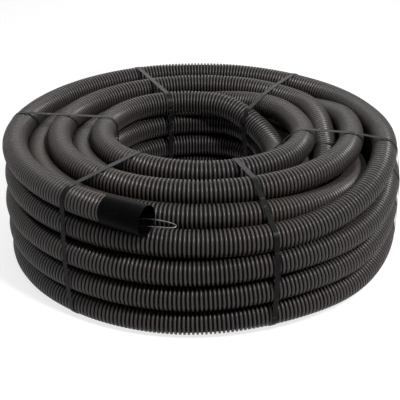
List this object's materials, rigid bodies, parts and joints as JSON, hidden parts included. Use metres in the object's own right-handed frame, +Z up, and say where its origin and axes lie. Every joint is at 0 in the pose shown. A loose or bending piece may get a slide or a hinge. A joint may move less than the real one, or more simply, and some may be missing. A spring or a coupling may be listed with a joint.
{
  "type": "corrugated conduit coil",
  "caption": "Coil of black corrugated cable conduit, lying flat and tied with straps, with a plain coupler on its free end and a draw wire in its mouth",
  "frame": {"origin": "on the coil's axis, on the floor that the coil lies on", "axes": "+Z up along the coil's axis, +X along the coupler, out of its mouth"},
  "size_m": [0.9978, 1.01, 0.3343],
  "materials": {
    "black_conduit": "ribbed, satin",
    "black_coupler": "smooth, satin",
    "dark_strap": "flat band",
    "steel_wire": "drawn wire"
  },
  "bodies": {
    "root": {"conduit": "black_conduit", "coupler": "black_coupler", "strap_front_right": "dark_strap", "strap_front_left": "dark_strap", "strap_left": "dark_strap", "strap_back_left": "dark_strap", "strap_back_right": "dark_strap", "strap_right": "dark_strap", "draw_wire": "steel_wire"}
  },
  "joints": []
}
